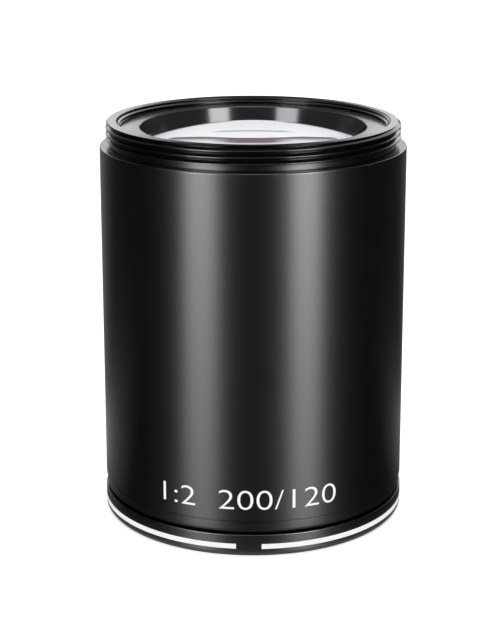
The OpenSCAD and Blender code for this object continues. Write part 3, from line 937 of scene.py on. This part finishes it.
def label():
    """Plain numbers, wrapped onto the wall as filled engraving."""
    curve = bpy.data.curves.new("label_text", "FONT")
    curve.body = LABEL_TEXT
    curve.extrude = LABEL_THICKNESS
    curve.offset = -LABEL_THINNING
    maker = bpy.data.objects.new("label_text", curve)
    bpy.context.scene.collection.objects.link(maker)
    bpy.context.view_layer.update()
    mesh = bpy.data.meshes.new_from_object(maker.evaluated_get(bpy.context.evaluated_depsgraph_get()))
    bpy.data.objects.remove(maker)
    xs = [v.co.x for v in mesh.vertices]
    ys = [v.co.y for v in mesh.vertices]
    left, right, low, high = min(xs), max(xs), min(ys), max(ys)
    grid = bmesh.new()
    grid.from_mesh(mesh)
    for i in range(1, LABEL_CUTS):
        at = left + (right - left) * i / LABEL_CUTS
        bmesh.ops.bisect_plane(grid, geom=grid.verts[:] + grid.edges[:] + grid.faces[:],
                               plane_co=(at, 0, 0), plane_no=(1, 0, 0))
    for v in grid.verts:
        arc = (v.co.x - (right + left) / 2) * LABEL_ARC / (right - left)
        z = LABEL_BASE_Z + (v.co.y - low) * LABEL_HEIGHT / (high - low)
        r = WALL_R + (LABEL_PROUD if v.co.z > 0 else -LABEL_PROUD)
        a = arc / WALL_R - math.pi / 2
        v.co = (r * math.cos(a) * MM, r * math.sin(a) * MM, z * MM)
    grid.to_mesh(mesh)
    grid.free()
    mesh.materials.clear()
    mesh.materials.append(WHITE)
    piece = bpy.data.objects.new("label", mesh)
    bpy.context.scene.collection.objects.link(piece)
    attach(piece, "root")


def camera():
    """The photo's viewpoint."""
    data = bpy.data.cameras.new("camera")
    data.lens = CAMERA_LENS
    data.sensor_width = CAMERA_SENSOR
    data.shift_x, data.shift_y = CAMERA_SHIFT
    eye = bpy.data.objects.new("camera", data)
    bpy.context.scene.collection.objects.link(eye)
    away = CAMERA_DISTANCE * MM
    eye.location = (away * math.sin(CAMERA_AZIMUTH), -away * math.cos(CAMERA_AZIMUTH), CAMERA_Z * MM)
    eye.rotation_euler = (math.pi / 2 - CAMERA_TILT, 0, CAMERA_AZIMUTH)
    bpy.context.scene.camera = eye


def strip(name, azimuth, elevation, width, power):
    """A soft strip light that faces the middle of the object and shows in reflections alone."""
    data = bpy.data.lights.new(name, "AREA")
    data.shape = "RECTANGLE"
    data.size = width
    data.size_y = LAMP_HEIGHT
    data.energy = power
    lamp = bpy.data.objects.new(name, data)
    bpy.context.scene.collection.objects.link(lamp)
    lamp.visible_diffuse = False
    a, e = math.radians(azimuth), math.radians(elevation)
    away = Vector((math.sin(a) * math.cos(e), -math.cos(a) * math.cos(e), math.sin(e)))
    lamp.location = Vector((0, 0, LAMP_AIM_Z)) + away * LAMP_DISTANCE
    lamp.rotation_euler = away.to_track_quat("Z", "Y").to_euler()


def to_the_eye(tree, path):
    """1 for camera and transmission rays, 0 for the rest."""
    return maths(tree, "MAXIMUM", path.outputs["Is Camera Ray"], path.outputs["Is Transmission Ray"])


def floor():
    """Pale paper: white to the eye with the object's soft shadow; in reflections, painted shade keeps
    it dim, with painted pools of light behind the object and at the foot.
    """
    material, tree, shader = node_material("floor", FLOOR_TONE, 0.9, specular=0.0)
    path = tree.nodes.new("ShaderNodeLightPath")
    point = object_point(tree)
    away = length(tree, point)
    x, y = along_axes(tree, point)[:2]
    sides = [side * MM for side in PATCH_SIDE]

    # a soft painted pool of light behind the object, seen only in reflections
    patch = maths(tree, "POWER", product(tree, away, 1 / (PATCH_R * MM)), PATCH_FALL)
    patch = maths(tree, "MINIMUM", patch, 1.0)
    behind = total(tree, y, ramp(tree, x, *sides, 0.0, PATCH_SHRINK * MM))
    patch = product(tree, patch, ramp(tree, behind, *(edge * MM for edge in PATCH_EDGE)))
    patch = product(tree, patch, ramp(tree, x, *sides, *PATCH_SHARES))

    # a dimmer painted strip of light that runs on from it to the back
    bearing = maths(tree, "DIVIDE", x, away)
    aisle = product(tree, ramp(tree, bearing, *AISLE_LEFT), fall(tree, bearing, *AISLE_RIGHT))
    aisle = product(tree, aisle, ramp(tree, y, *(edge * MM for edge in AISLE_EDGE)))
    aisle = product(tree, aisle, ramp(tree, x, *sides, *AISLE_SHARES))

    # painted light close to the foot; painted shade elsewhere
    foot = ramp(tree, away, *(edge * MM for edge in FOOT_EDGE), FOOT_SHARE, FLOOR_DIM)
    shown = maths(tree, "MAXIMUM", foot, total(tree, patch, aisle))
    # reflections see the painted light and shade; the eye sees the plain tone
    paper = mixed(tree, path.outputs["Is Glossy Ray"], FLOOR_TONE, shown)
    tree.links.new(paper, shader.inputs["Base Color"])
    shader.inputs["Emission Color"].default_value = (1, 1, 1, 1)
    glow = product(tree, to_the_eye(tree, path), FLOOR_GLOW)
    tree.links.new(glow, shader.inputs["Emission Strength"])

    mesh = bpy.data.meshes.new("floor")
    s = FLOOR_SIZE
    mesh.from_pydata([(-s, -s, 0), (s, -s, 0), (s, s, 0), (-s, s, 0)], [], [(0, 1, 2, 3)])
    mesh.materials.append(material)
    ground = bpy.data.objects.new("floor", mesh)
    bpy.context.scene.collection.objects.link(ground)


def world():
    """White to the eye and through glass; to the metal, a dark room with a pale far wall."""
    sky = bpy.data.worlds.new("studio")
    bpy.context.scene.world = sky
    sky.use_nodes = True
    tree = sky.node_tree
    path = tree.nodes.new("ShaderNodeLightPath")
    place = tree.nodes.new("ShaderNodeTexCoord")
    x, y, z = along_axes(tree, place.outputs["Generated"])

    # the far wall with its dark middle, dimmer to both sides and at its foot
    off_middle = maths(tree, "ABSOLUTE", total(tree, x, WALL_MIDDLE))
    lit = product(tree, ramp(tree, y, *WALL_Y), ramp(tree, off_middle, *DARK_ZONE))
    left = ramp(tree, x, *WALL_LEFT, WALL_LEFT_LEVEL, 1.0)
    right = ramp(tree, x, *WALL_RIGHT, 1.0, WALL_RIGHT_LEVEL)
    wall = product(tree, lit, left, right, ramp(tree, z, *WALL_FOOT, WALL_FOOT_LEVEL, 1.0))

    # two low cards on it, and the shaded upper left corner of both
    cards = product(tree, lit, fall(tree, off_middle, *CARD_SIDE), ramp(tree, z, *CARD_FOOT))
    cards = product(tree, cards, fall(tree, z, *CARD_TOP), CARD_LEVEL)
    corner = product(tree, ramp(tree, z, *CORNER_Z), ramp(tree, x, *CORNER_X, CORNER_SHADE, 0.0))
    room = product(tree, total(tree, wall, cards), fall(tree, corner, 0.0, 1.0))

    overhead = product(tree, ramp(tree, y, *OVERHEAD_NEAR), fall(tree, y, *OVERHEAD_FAR))
    overhead = product(tree, overhead, ramp(tree, z, *OVERHEAD_Z, 0.0, OVERHEAD_LEVEL))
    reflected = product(tree, total(tree, room, overhead), path.outputs["Is Glossy Ray"])
    fill = product(tree, path.outputs["Is Diffuse Ray"], ROOM_FILL)
    back = tree.nodes["Background"]
    back.inputs["Color"].default_value = (1, 1, 1, 1)
    tree.links.new(total(tree, to_the_eye(tree, path), reflected, fill), back.inputs["Strength"])


camera()
dress_nodes()
main_barrel()
rear_ring()
front_collar()
nose_ring()
white_band()
lenses()
label()
floor()
world()
strip("key_left", azimuth=-36.1, elevation=10.5, width=0.24, power=3.4)
strip("key_right", azimuth=39.6, elevation=16, width=0.22, power=3.85)

bpy.context.scene.view_settings.view_transform = "Standard"
